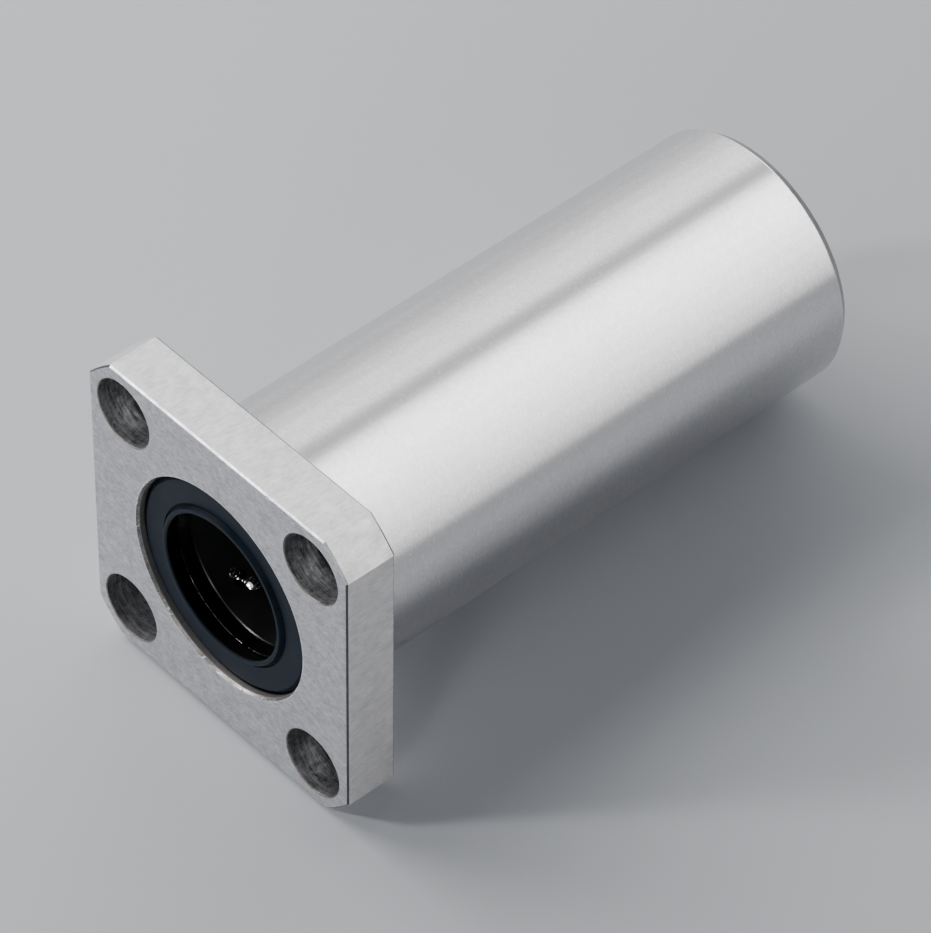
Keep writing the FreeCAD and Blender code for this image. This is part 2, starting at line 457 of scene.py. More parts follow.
@dataclass(frozen=True)
class MachinedSteel:
    """Turned or bored steel, darker than ground steel, with tool marks round an axis along Y.

    Centre is the place of that axis along X and along Z in millimetres; marks is the number of
    tool marks to the metre, and glint the brightness of the small nicks.
    """

    MARK_BREAKS = 420.0
    SMEARS = (1500.0, 1100.0, 1500.0)
    NICKS = 2100.0
    WEIGHTS = (0.55, 0.45)
    TONES = (0.39, 0.61)
    GLINTS = (0.6, 0.66)
    GLINT = (0.95, 0.95, 0.94)
    ROUGHNESS_SWING = 0.1

    name: str
    light: Colour
    dark: Colour
    roughness: float
    mark_depth: float
    centre: float = 0.0
    marks: float = 5200.0
    glint: float = 0.0

    def make(self) -> bpy.types.Material:
        """Makes the material."""
        shader = Shader(self.name, Metallic=1.0)
        rings = shader.around(self.centre, self.marks, self.MARK_BREAKS)
        marks = shader.noise(rings, detail=4.0, roughness=0.7)
        smears = shader.grain(self.SMEARS, detail=6.0, roughness=0.72)
        tone = shader.mingled(*zip((marks, smears), self.WEIGHTS))
        colour = shader.blended(shader.span(tone, 0.0, 1.0, *self.TONES), self.dark, self.light)
        nicks = shader.grain(self.NICKS, detail=2.0, roughness=0.6)
        glints = shader.span(nicks, 0.0, self.glint, *self.GLINTS)
        shader.feed("Base Color", shader.blended(glints, colour, self.GLINT))
        swing = self.ROUGHNESS_SWING
        shader.feed("Roughness", shader.span(tone, self.roughness + swing, self.roughness - swing))
        rough = shader.relief(smears, self.mark_depth)
        shader.feed("Normal", shader.relief(marks, self.mark_depth, under=rough))
        return shader.material


@dataclass(frozen=True)
class WornAndPaintedHighlightEdge:
    """Spring steel with worn, shiny dashes along its edge, lightened in the lower part of the bore as a
    painted highlight.
    """

    WEAR = (0.44, 0.6)
    ROUGHNESS_SWING = (0.12, -0.06)
    DEPTH = 0.004

    name: str
    colour: Colour
    worn: Colour
    roughness: float
    dashes: float

    def make(self) -> bpy.types.Material:
        """Makes the material."""
        shader = Shader(self.name, Metallic=1.0)
        pattern = shader.grain(self.dashes, roughness=0.6)
        # The worn colour shows only low in the bore, where it paints the edge's highlight.
        share = shader.math("MULTIPLY", shader.span(pattern, 0.0, 1.0, *self.WEAR), shader.painted_highlight_low_mask())
        shader.feed("Base Color", shader.blended(share, self.colour, self.worn))
        roughest, smoothest = (self.roughness + swing for swing in self.ROUGHNESS_SWING)
        shader.feed("Roughness", shader.span(pattern, roughest, smoothest))
        shader.feed("Normal", shader.relief(pattern, self.DEPTH))
        return shader.material


@dataclass(frozen=True)
class PaintedHighlightEdge:
    """Narrow edge round the bore, inside a radius and beyond a reach, made metallic and lighter in the bore's
    lowest part as a painted highlight.
    """

    radius: float
    reach: float
    colour: Colour
    roughness: float


@dataclass(frozen=True)
class MouldedFinish:
    """Moulded rubber or resin with a faint skin texture and dust in it."""

    SKIN = 2600.0
    CLOUDS = 330.0
    DUST = (0.4, 0.72)
    ROUGHNESS_SWING = (-0.06, 0.08)

    name: str
    colour: Colour
    dusty: Colour
    roughness: float
    skin_depth: float
    gloss: float = 0.5
    edge: PaintedHighlightEdge | None = None

    def make(self) -> bpy.types.Material:
        """Makes the material."""
        shader = Shader(self.name, Metallic=0.0, Specular_IOR_Level=self.gloss)
        clouds = shader.grain(self.CLOUDS, detail=5.0, roughness=0.62)
        colour = shader.blended(shader.span(clouds, 0.0, 1.0, *self.DUST), self.colour, self.dusty)
        rough = shader.span(clouds, *(self.roughness + swing for swing in self.ROUGHNESS_SWING))
        # An edge, if given, is a painted highlight: metallic and lighter low in the bore.
        if self.edge:
            ring = shader.mouth(self.edge.radius, self.edge.reach)
            share = shader.math("MULTIPLY", ring, shader.painted_highlight_low_mask())
            colour = shader.blended(share, colour, self.edge.colour)
            gain = shader.math("MULTIPLY", share, self.edge.roughness - self.roughness)
            rough = shader.math("ADD", rough, gain)
            shader.feed("Metallic", share)
            shader.feed("Specular IOR Level", shader.span(ring, self.gloss, 0.0, 0.0, 1.0))
        shader.feed("Base Color", colour)
        shader.feed("Roughness", rough)
        shader.feed("Normal", shader.relief(shader.grain(self.SKIN), self.skin_depth))
        return shader.material


@dataclass(frozen=True)
class PolishedBall:
    """Polished ball steel with a thin film of oil."""

    FILM = 700.0
    FILM_SHADE = 0.86
    COAT_ROUGHNESS = 0.05
    ROUGHNESS = (0.05, 0.14)

    name: str
    colour: Colour
    oil: float

    def make(self) -> bpy.types.Material:
        """Makes the material."""
        shader = Shader(self.name, Metallic=1.0, Coat_Weight=self.oil, Coat_Roughness=self.COAT_ROUGHNESS)
        film = shader.grain(self.FILM)
        shade = tuple(channel * self.FILM_SHADE for channel in self.colour)
        shader.feed("Base Color", shader.blended(film, self.colour, shade))
        shader.feed("Roughness", shader.span(film, *self.ROUGHNESS))
        return shader.material


@dataclass(frozen=True)
class FloorPaper:
    """Plain pale matte paper."""

    FIBRES = 900.0
    FIBRE_SHADE = 0.985
    ROUGHNESS = 0.75
    GLOSS = 0.2

    name: str
    colour: Colour

    def make(self) -> bpy.types.Material:
        """Makes the material."""
        shader = Shader(self.name, Roughness=self.ROUGHNESS, Specular_IOR_Level=self.GLOSS)
        shade = tuple(channel * self.FIBRE_SHADE for channel in self.colour)
        fibre = shader.grain(self.FIBRES, detail=4.0)
        shader.feed("Base Color", shader.blended(fibre, self.colour, shade))
        return shader.material


Finish = GroundSteel | MachinedSteel | WornAndPaintedHighlightEdge | MouldedFinish


POCKET_AXIS = 13.435
SLEEVE_FINISHES = {
    Zone.BARREL: GroundSteel(
        "barrel_ground_steel", light=(0.715, 0.705, 0.71), dark=(0.61, 0.605, 0.61), smoothest=0.17,
        roughest=0.24, grain=(2200.0, 4600.0, 2200.0), grain_depth=0.0006, glint=0.6,
    ),
    Zone.FACE: GroundSteel(
        "flange_face_ground_steel", light=(0.75, 0.74, 0.77), dark=(0.46, 0.45, 0.475), smoothest=0.46,
        roughest=0.60, grain=(1500.0, 1500.0, 3600.0), grain_depth=0.005, grain_turn=12.0, glint=0.3,
        blotches=900.0, blotch_share=0.3,
    ),
    Zone.EDGE: GroundSteel(
        "flange_edge_milled_steel", light=(0.805, 0.79, 0.784), dark=(0.585, 0.572, 0.565),
        smoothest=0.50, roughest=0.60, grain=(3600.0, 1100.0, 3600.0), grain_depth=0.005,
        grain_turn=14.0, glint=0.3, blotches=600.0, blotch_share=0.4,
    ),
    # The bevel's steel is painted near black: a painted dark reflection on the broken edges.
    Zone.BEVEL: GroundSteel(
        "flange_bevel_steel_painted_dark_reflection", light=(0.11, 0.11, 0.12), dark=(0.075, 0.075, 0.085),
        smoothest=0.14, roughest=0.24, grain=(700.0, 700.0, 700.0), grain_depth=0.001,
    ),
    Zone.RIM: MachinedSteel(
        "rim_turned_steel", light=(0.27, 0.265, 0.265), dark=(0.18, 0.177, 0.175), roughness=0.32,
        mark_depth=0.003,
    ),
    Zone.POCKET: MachinedSteel(
        "screw_pocket_machined_steel", light=(0.37, 0.37, 0.375), dark=(0.07, 0.075, 0.08),
        roughness=0.58, mark_depth=0.03, centre=POCKET_AXIS, marks=4200.0, glint=0.1,
    ),
    Zone.BORE: MachinedSteel(
        "seal_bore_turned_steel", light=(0.60, 0.575, 0.555), dark=(0.38, 0.36, 0.345),
        roughness=0.48, mark_depth=0.006,
    ),
    # Brownish machined steel, its tone darkened overall as painted shade.
    Zone.MOUTH: MachinedSteel(
        "broken_mouth_edge_painted_shade_steel", light=(0.50, 0.472, 0.45), dark=(0.15, 0.132, 0.12),
        roughness=0.4, mark_depth=0.025, marks=1400.0, glint=0.85,
    ),
    # Burnished margin, its colour raised near white to paint a bright highlight line round the bore mouth.
    Zone.MARGIN: GroundSteel(
        "bore_margin_burnished_painted_highlight_steel", light=(0.97, 0.97, 0.97), dark=(0.52, 0.52, 0.54),
        smoothest=0.40, roughest=0.52, grain=(1800.0, 1800.0, 1800.0), grain_depth=0.002,
    ),
    Zone.POCKET_EDGE: MachinedSteel(
        "screw_pocket_broken_edge", light=(0.33, 0.275, 0.24), dark=(0.15, 0.125, 0.11),
        roughness=0.5, mark_depth=0.01, centre=POCKET_AXIS, marks=1400.0,
    ),
}
SEAL_FINISHES = {
    SealZone.FACE: MouldedFinish(
        "seal_blue_black_rubber", colour=(0.0033, 0.0082, 0.0165), dusty=(0.0075, 0.0150, 0.0255),
        roughness=0.46, skin_depth=0.003, gloss=0.14,
    ),
    # The groove and the throat are the same rubber as the face, painted near black as painted shade.
    SealZone.THROAT: MouldedFinish(
        "seal_throat_painted_shade_rubber", colour=(0.0012, 0.0012, 0.0014), dusty=(0.002, 0.002, 0.0023),
        roughness=0.6, skin_depth=0.002, gloss=0.1,
    ),
}
RING_FINISHES = {
    RingZone.BODY: MachinedSteel(
        "retaining_ring_spring_steel", light=(0.05, 0.05, 0.053), dark=(0.025, 0.025, 0.027),
        roughness=0.36, mark_depth=0.004,
    ),
    RingZone.EDGE: WornAndPaintedHighlightEdge(
        "retaining_ring_edge_worn_and_painted_highlight", colour=(0.005, 0.005, 0.005), worn=(0.16, 0.16, 0.16),
        roughness=0.22, dashes=1300.0,
    ),
}
# Black resin; its inner end edges carry a painted highlight low in the bore.
CAGE_RESIN = MouldedFinish(
    "cage_resin_black_with_painted_edge_highlight", colour=(0.006, 0.006, 0.007), dusty=(0.012, 0.012, 0.013), roughness=0.5,
    skin_depth=0.003, gloss=0.35,
    edge=PaintedHighlightEdge(radius=8.46, reach=31.195, colour=(0.06, 0.059, 0.057), roughness=0.32),
)
BALL_STEEL = PolishedBall("ball_polished_steel", colour=(0.92, 0.92, 0.93), oil=0.5)
PALE_PAPER = FloorPaper("pale_floor_paper", colour=(0.67, 0.69, 0.72))


def node_box(node: str) -> tuple[np.ndarray, np.ndarray]:
    """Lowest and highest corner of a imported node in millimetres."""
    low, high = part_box(node)
    return np.array(low) / MM, np.array(high) / MM


def end_face(end: str) -> tuple[float, float]:
    """Place of the sleeve's front or rear face along Y, and the way from it into the bore."""
    low, high = node_box("flanged_sleeve")
    return (low[1], 1.0) if end == "front" else (high[1], -1.0)


@dataclass
class FlangedSleeve:
    """Square flange and outer cylinder in one piece, with its stepped and fluted bore.

    The flange's faces are blends between each screw hole and the outline round it; the rest is
    turned about the bore. All the grids share their edge points, so they weld into one shell.
    """

    FLUTE_STEPS = 13
    SIDE_STEPS = 19
    ARC_STEPS = 11
    SEAM_STEPS = 9
    BLEND_STEPS = 7
    ANGLE_GAP = 0.5

    corner_r: float = 24.0
    barrel_r: float = 14.0
    rim_chamfer_r: float = 0.7
    rim_chamfer_length: float = 0.95
    edge_break: float = 0.25
    edge_soft: float = 0.12
    edge_margin: float = 0.4
    worn_share: float = 0.4
    undercut_depth: float = 0.2
    undercut_width: float = 1.0
    undercut_margin: float = 0.1
    bolt_circle_r: float = 19.0
    hole_r: float = 2.25
    hole_margin: float = 0.15
    pocket_r: float = 3.75
    pocket_depth: float = 4.1
    pocket_chamfer: float = 0.1
    pocket_margin: float = 0.1
    pocket_floor_soft: float = 0.2
    end_bore_r: float = 12.0
    mouth_break_r: float = 0.15
    mouth_break_depth: float = 0.3
    mouth_margin: float = 0.16
    mouth_soft: float = 0.04
    mouth_foot_soft: float = 0.08
    burnish_width: float = 0.1
    rim_soft: float = 0.25
    rim_overlap: float = 0.1
    rear_soft: float = 0.15
    corner_soft: float = 0.1
    fine_soft: float = 0.05
    seal_seat: float = 0.95
    seal_depth: float = 2.1
    ring_depth: float = 3.7
    ring_groove_r: float = 12.2
    land_r: float = 10.53
    flute_r: float = 1.33
    flute_centre_r: float = 10.534
    flute_first: float = 216.417
    flute_count: int = 5
    row_balls: int = 7
    track_clearance: float = 0.08
    guide_width: float = 0.75
    bridge_angle: float = 11.25
    bridge_half: float = 3.6

    def __post_init__(self) -> None:
        """Reads the flange's and the body's size from the frame."""
        low, high = node_box("flanged_sleeve")
        self.half = float(high[0])
        self.front = float(low[1])
        self.rear = float(high[1])
        self.middle = (self.front + self.rear) / 2
        self.hole_centre = np.full(2, self.bolt_circle_r / math.sqrt(2))
        self.relief_r = self.flute_centre_r + self.flute_r
        self.mouth_r = self.end_bore_r + self.mouth_break_r
        self.pocket_mouth_r = self.pocket_r + self.pocket_chamfer
        self.undercut_r = self.barrel_r + self.undercut_width - self.undercut_depth
        self.flute_half = self.flute_edge()
        self.angles = self.bore_angles()

    def flute_edge(self) -> float:
        """Half angle of a flute in degrees, where its circle meets the land's."""
        reach = self.flute_centre_r**2 + self.land_r**2 - self.flute_r**2
        return math.degrees(math.acos(reach / (2 * self.flute_centre_r * self.land_r)))

    def bore_angles(self) -> np.ndarray:
        """Angles of the turned grids: even steps, closer together at the flutes' edges."""
        bridges = np.array([90.0 * side + sign * self.bridge_angle for side in range(4) for sign in (-1, 1)])
        across = self.flute_half * np.sin(np.linspace(-np.pi / 2, np.pi / 2, self.FLUTE_STEPS))
        flutes = (self.flute_centres()[:, None] + across[None, :]).ravel()
        kept = np.concatenate([bridges % 360, flutes % 360])
        even = np.arange(0, 360, self.bridge_angle / 4)
        apart = np.abs((even[:, None] - kept[None, :] + 180) % 360 - 180).min(axis=1)
        return np.unique(np.round(np.concatenate([kept, even[apart > self.ANGLE_GAP]]), 6))

    def flute_centres(self) -> np.ndarray:
        """Middle angles of the flutes."""
        return (self.flute_first + 360 / self.flute_count * np.arange(self.flute_count)) % 360

    def land_profile(self, angles: np.ndarray) -> np.ndarray:
        """Radius of the fluted land at each angle.

        A flute is a circle about the return row: R cos d + sqrt(f^2 - (R sin d)^2), where d is the
        angle from the flute's middle, R the row's radius and f the flute's.
        """
        off = (angles[:, None] - self.flute_centres()[None, :] + 180) % 360 - 180
        nearest = np.radians(np.abs(off).min(axis=1))
        along = self.flute_centre_r * np.cos(nearest)
        inside = np.clip(self.flute_r**2 - (self.flute_centre_r * np.sin(nearest)) ** 2, 0, None)
        in_flute = nearest <= math.radians(self.flute_half)
        return np.where(in_flute, np.maximum(along + np.sqrt(inside), self.land_r), self.land_r)

    def window(self, start: float, end: float) -> np.ndarray:
        """Bore angles from start to end, both kept, as degrees that don't wrap."""
        turned = (self.angles - start + ANGLE_SLACK) % 360 + start - ANGLE_SLACK
        return np.sort(turned[turned <= end + ANGLE_SLACK])

    def side_corner(self, inset: float) -> float:
        """Half length of a flange side that is set in from the outline."""
        return math.sqrt((self.corner_r - inset) ** 2 - (self.half - inset) ** 2)

    def corner_outline(self, inset: float) -> np.ndarray:
        """Outline round one screw hole, from one side's bridge past the corner arc to the next."""
        flat = self.half - inset
        end = self.side_corner(inset)
        rise = np.linspace(self.bridge_half, end, self.SIDE_STEPS)
        sweep = np.arctan2(end, flat)
        arc = np.linspace(sweep, np.pi / 2 - sweep, self.ARC_STEPS)
        first = np.stack([np.full_like(rise, flat), rise], axis=1)
        round_part = (self.corner_r - inset) * np.stack([np.cos(arc), np.sin(arc)], axis=1)
        return np.concatenate([first, round_part[1:-1], first[::-1, ::-1]])

    def bridge_outline(self, side: int, inset: float) -> np.ndarray:
        """Outline of one flange side between its two screw holes."""
        share = self.window(90 * side - self.bridge_angle, 90 * side + self.bridge_angle) - 90 * side
        rise = share / self.bridge_angle * self.bridge_half
        return np.stack([np.full_like(rise, self.half - inset), rise], axis=1)

    def turned(self, flat: np.ndarray, side: int) -> np.ndarray:
        """Turns points of the flange's plane by quarter turns."""
        step = np.linalg.matrix_power(np.array([[0, 1], [-1, 0]]), side)
        return flat @ step

    def arc(self, start: float, end: float, side: int, radius: float) -> np.ndarray:
        """Points of a bore circle from start to end, in the side's own axes."""
        angles = np.radians(self.window(90 * side + start, 90 * side + end) - 90 * side)
        return radius * np.stack([np.cos(angles), np.sin(angles)], axis=1)

    def raised(self, flat: np.ndarray, y: float | np.ndarray) -> np.ndarray:
        """Points of the flange's plane as points in space."""
        return np.stack([flat[..., 0], np.broadcast_to(y, flat.shape[:-1]), flat[..., 1]], axis=-1)

    def hole_border(self, side: int, bore_r: float, inset: float) -> np.ndarray:
        """Closed border of the face round one screw hole."""
        outline = self.corner_outline(inset)
        bore = self.arc(self.bridge_angle, 90 - self.bridge_angle, side, bore_r)
        share = np.linspace(0, 1, self.SEAM_STEPS)[:, None]
        seam_in = bore[0] + (outline[0] - bore[0]) * share
        seam_out = bore[-1] + (outline[-1] - bore[-1]) * share
        return np.concatenate([seam_in[:-1], outline, seam_out[::-1][1:-1], bore[::-1]])

    def hole_bearing(self, side: int) -> np.ndarray:
        """Unit vectors from a screw hole to its border, the same for both faces."""
        border = self.hole_border(side, self.end_bore_r, self.edge_margin) - self.hole_centre
        return border / np.linalg.norm(border, axis=1)[:, None]

    def add_face(self, shell: Shell, y: float, bore_r: float, hole_r: float) -> None:
        """Adds one flat face of the flange: blends round the holes, and bridges between them.

        A blend is (1 - t) times the hole's circle plus t times the border.

        Args:
            shell: Shell that takes the grids.
            y: Place of the face.
            bore_r: Radius of the face's inner edge.
            hole_r: Radius of the screw holes' edges in this face.
        """
        share = np.linspace(0, 1, self.BLEND_STEPS)[:, None, None]
        strip = np.linspace(0, 1, self.SEAM_STEPS)[:, None, None]
        for side in range(4):
            rim = self.hole_centre + hole_r * self.hole_bearing(side)
            blend = rim + (self.hole_border(side, bore_r, self.edge_margin) - rim) * share
            shell.add(self.raised(self.turned(blend, side), y), Zone.FACE.value)
            inner = self.arc(-self.bridge_angle, self.bridge_angle, side, bore_r)
            bridge = inner + (self.bridge_outline(side, self.edge_margin) - inner) * strip
            shell.add(self.raised(self.turned(bridge, side), y), Zone.FACE.value)

    def add_sides(self, shell: Shell) -> None:
        """Adds the flange's edge: its outline carried along the profile of the broken edges."""
        worn = self.worn_share * self.edge_soft
        profile = softened([
            Corner(self.edge_margin, self.front, zone=Zone.FACE),
            Corner(self.edge_break, self.front, self.edge_soft, Zone.FACE),
            Corner(self.edge_break - worn, self.front + worn, zone=Zone.BEVEL),
            Corner(0.0, self.front + self.edge_break, self.edge_soft, Zone.EDGE),
            Corner(0.0, -self.edge_break, self.edge_soft / 2, Zone.BEVEL),
            Corner(self.edge_break, 0.0, self.edge_soft / 2),
            Corner(self.edge_break + worn, 0.0, zone=Zone.FACE),
            Corner(self.edge_margin, 0.0),
        ])
        rows = []
        for inset, y in profile.points:
            loop = []
            for side in range(4):
                loop.append(self.turned(self.bridge_outline(side, inset)[:-1], side))
                loop.append(self.turned(self.corner_outline(inset)[:-1], side))
            rows.append(self.raised(np.concatenate(loop), y))
        shell.add(np.stack(rows), profile.bands, closed=True)

    def add_holes(self, shell: Shell) -> None:
        """Adds the screw holes: head pocket, floor and through hole, turned about each hole."""
        floor_y = self.front + self.pocket_depth
        profile = softened([
            Corner(self.pocket_mouth_r + self.pocket_margin, self.front, zone=Zone.FACE),
            Corner(self.pocket_mouth_r, self.front, self.mouth_soft, Zone.POCKET_EDGE),
            Corner(self.pocket_r, self.front + self.pocket_chamfer, self.mouth_soft, Zone.POCKET),
            Corner(self.pocket_r, floor_y, self.pocket_floor_soft),
            Corner(self.hole_r, floor_y, self.fine_soft),
            Corner(self.hole_r, 0.0, self.corner_soft, Zone.FACE),
            Corner(self.hole_r + self.hole_margin, 0.0),
        ])
        for side in range(4):
            rings = self.hole_centre + profile.points[:, :1, None] * self.hole_bearing(side)
            shell.add(self.raised(self.turned(rings, side), profile.points[:, 1:]), profile.bands)

    def barrel_profile(self) -> Profile:
        """Outside of the barrel from the flange's back face to the rear mouth."""
        inner_r = self.barrel_r - self.undercut_depth
        rim_y = self.rear - self.rim_chamfer_length
        slope = self.rim_chamfer_r / self.rim_chamfer_length
        return softened([
            Corner(self.undercut_r + self.undercut_margin, 0.0, zone=Zone.FACE),
            Corner(self.undercut_r, 0.0, self.fine_soft, Zone.RIM),
            Corner(self.undercut_r - self.undercut_depth, -self.undercut_depth, self.fine_soft),
            Corner(inner_r, -self.undercut_depth, self.corner_soft),
            Corner(inner_r, self.undercut_width - self.undercut_depth, self.corner_soft),
            Corner(self.barrel_r, self.undercut_width, self.corner_soft, Zone.BARREL),
            Corner(self.barrel_r, rim_y, self.rim_soft, Zone.BARREL),
            Corner(self.barrel_r - self.rim_overlap * slope, rim_y + self.rim_overlap, zone=Zone.RIM),
            Corner(self.barrel_r - self.rim_chamfer_r, self.rear, self.rear_soft),
            Corner(self.mouth_r + self.mouth_margin, self.rear),
        ])

    def flute_ends(self) -> tuple[float, float]:
        """Depths where the flutes start and end, half a ball pitch beyond the row's end balls."""
        low, high = node_box("front_loaded_row_balls_1")
        row_half = (float(high[1] - low[1]) - 2 * (self.flute_r - self.track_clearance)) / 2
        pitch = 2 * row_half / (self.row_balls - 1)
        middle = float(high[1] + low[1]) / 2 - self.front
        return middle - row_half - pitch / 2, middle + row_half + pitch / 2

    def bore_half(self, end: float, inward: float, margin: Zone) -> tuple[np.ndarray, np.ndarray]:
        """Stepped bore from one end to the middle, as rows by angles of (radius, y).

        Args:
            end: Place of the end face.
            inward: 1 from the front end, -1 from the rear one.
            margin: Finish of the end face next to the mouth.

        Returns:
            The rows, with the fluted land between the two turning reliefs, and their bands' slots.
        """
        mouth = softened([
            Corner(self.mouth_r + self.mouth_margin, 0.0, zone=margin),
            Corner(self.mouth_r, 0.0, self.mouth_soft, Zone.MOUTH),
            Corner(self.end_bore_r, self.mouth_break_depth, self.mouth_foot_soft, Zone.MARGIN),
            Corner(self.end_bore_r, self.mouth_break_depth + self.burnish_width, zone=Zone.BORE),
            Corner(self.end_bore_r, self.seal_seat, zone=Zone.RIM),
            Corner(self.end_bore_r, self.seal_depth),
        ])
        low, high = node_box("front_ball_cage")
        cage_end = self.ring_depth + float(high[1] - low[1])
        near, far = self.flute_ends()
        before = [
            (self.ring_groove_r, self.seal_depth),
            (self.ring_groove_r, self.ring_depth),
            (self.land_r, self.ring_depth),
            (self.land_r, self.ring_depth + self.guide_width),
            (self.relief_r, self.ring_depth + self.guide_width),
            (self.relief_r, near),
        ]
        after = [
            (self.relief_r, far),
            (self.relief_r, cage_end - self.guide_width),
            (self.land_r, cage_end - self.guide_width),
            (self.land_r, self.middle - self.front),
        ]
        count = len(self.angles)
        plain_before = np.repeat(np.concatenate([mouth.points, before])[:, None], count, axis=1)
        plain_after = np.repeat(np.array(after)[:, None], count, axis=1)
        land = self.land_profile(self.angles)
        fluted = np.stack([np.stack([land, np.full(count, y)], axis=1) for y in (near, far)])
        rows = np.concatenate([plain_before, fluted, plain_after])
        rows[..., 1] = end + inward * rows[..., 1]
        bands = np.full(len(rows) - 1, Zone.BORE.value)
        bands[:len(mouth.bands)] = mouth.bands
        return rows, bands

    def build(self) -> bpy.types.Object:
        """Builds the sleeve as one shell."""
        shell = Shell()
        pocket_edge_r = self.pocket_mouth_r + self.pocket_margin
        self.add_face(shell, self.front, self.mouth_r + self.mouth_margin, pocket_edge_r)
        self.add_face(shell, 0.0, self.undercut_r + self.undercut_margin, self.hole_r + self.hole_margin)
        self.add_sides(shell)
        self.add_holes(shell)
        barrel = self.barrel_profile()
        shell.add(revolved(barrel.points, self.angles), barrel.bands, closed=True)
        for end, inward, margin in ((self.front, 1.0, Zone.MARGIN), (self.rear, -1.0, Zone.RIM)):
            half, bands = self.bore_half(end, inward, margin)
            shell.add(revolved(half, self.angles), bands, closed=True)
        return shell.build("sleeve_body")


@dataclass
class EndSeal:
    """Moulded seal with a flat collar, a groove and a raised, undercut lip round the shaft's place."""

    end: str
    lip_r: float = 8.0
    lip_face_r: float = 8.15
    lip_outer_r: float = 8.5
    lip_foot_r: float = 8.65
    groove_r: float = 8.9
    outer_r: float = 12.0
    outer_chamfer: float = 0.6
    lip_front: float = 0.25
    lip_land: tuple[float, float] = (0.35, 0.6)
    lip_back: float = 1.1
    setback: float = 0.7
    groove_floor: float = 0.85
    back: float = 2.1
    back_r: float = 8.8
    edge_soft: float = 0.1
    seat_soft: float = 0.08
    land_soft: float = 0.05
    crown_soft: tuple[float, float] = (0.06, 0.08)
    groove_soft: float = 0.03
    collar_soft: float = 0.04
    segments: int = 160

    def build(self) -> bpy.types.Object:
        """Builds the seal by turning its closed, softened profile."""
        middle_r = (self.outer_r + self.back_r) / 2
        profile = softened([
            Corner(middle_r, self.back, zone=SealZone.THROAT),
            Corner(self.back_r, self.back, self.edge_soft),
            Corner(self.back_r, self.lip_back, self.edge_soft),
            Corner(self.lip_r, self.lip_land[1], self.land_soft),
            Corner(self.lip_r, self.lip_land[0], self.land_soft, SealZone.FACE),
            Corner(self.lip_face_r, self.lip_front, self.crown_soft[0]),
            Corner(self.lip_outer_r, self.lip_front, self.crown_soft[1]),
            Corner(self.lip_foot_r, self.groove_floor, self.groove_soft, SealZone.THROAT),
            Corner(self.groove_r, self.groove_floor, self.groove_soft),
            Corner(self.groove_r, self.setback, self.collar_soft, SealZone.FACE),
            Corner(self.outer_r - self.outer_chamfer, self.setback, self.edge_soft),
            Corner(self.outer_r, self.setback + self.outer_chamfer, self.seat_soft),
            Corner(self.outer_r, self.back, self.land_soft),
            Corner(middle_r, self.back),
        ]).placed(*end_face(self.end))
        shell = Shell()
        angles = np.arange(self.segments) * 360 / self.segments
        shell.add(revolved(profile.points, angles), profile.bands, closed=True)
        return shell.build(f"{self.end}_seal_body")


@dataclass
class RetainingRing:
    """Open spring ring with rounded edges, sprung into the sleeve's groove."""

    end: str
    inner_r: float = 8.5
    outer_r: float = 12.2
    near: float = 2.1
    far: float = 3.7
    edge: float = 0.1
    edge_reach: float = 1.2
    outer_soft: float = 0.05
    gap_start: float = 275.0
    gap_angle: float = 6.0
    segments: int = 180

    def build(self) -> bpy.types.Object:
        """Builds the ring by turning its profile through all but the gap, with flat ends."""
        face, inward = end_face(self.end)
        middle_r = (self.inner_r + self.outer_r) / 2
        profile = softened([
            Corner(middle_r, self.near, zone=RingZone.BODY),
            Corner(self.inner_r, self.near, self.edge, RingZone.EDGE),
            Corner(self.inner_r, self.near + self.edge_reach * self.edge, zone=RingZone.BODY),
            Corner(self.inner_r, self.far, self.edge),
            Corner(self.outer_r, self.far, self.outer_soft),
            Corner(self.outer_r, self.near, self.outer_soft),
            Corner(middle_r, self.near),
        ]).placed(face, inward)
        start = self.gap_start + self.gap_angle
        angles = np.linspace(start, self.gap_start + 360, self.segments)
        shell = Shell()
        shell.add(revolved(profile.points, angles), profile.bands)
        centre = np.array([middle_r, face + inward * (self.near + self.far) / 2])
        share = np.linspace(0, 1, 3)[:, None, None]
        for angle in (angles[0], angles[-1]):
            cap = centre + (profile.points - centre) * share
            flat = revolved(cap.reshape(-1, 2), np.array([angle]))
            shell.add(flat.reshape(3, len(profile.points), 3), RingZone.BODY.value)
        return shell.build(f"{self.end}_ring_body")


def dress(piece: bpy.types.Object, finishes: dict[Enum, Finish]) -> None:
    """Gives a piece the finish of each zone, in the order of its material slots."""
    for zone in sorted(finishes, key=lambda zone: zone.value):
        piece.data.materials.append(finishes[zone].make())


def dress_inner_nodes() -> None:
    """Gives the cages, spacer and balls their finishes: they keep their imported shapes."""
    resin, steel = CAGE_RESIN.make(), BALL_STEEL.make()
    for name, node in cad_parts.items():
        if any(word in name for word in REPLACED):
            continue
        material = steel if "balls" in name else resin
        node.data.materials.clear()
        node.data.materials.append(material)
        LOG.info("%s dressed as %s", name, material.name)


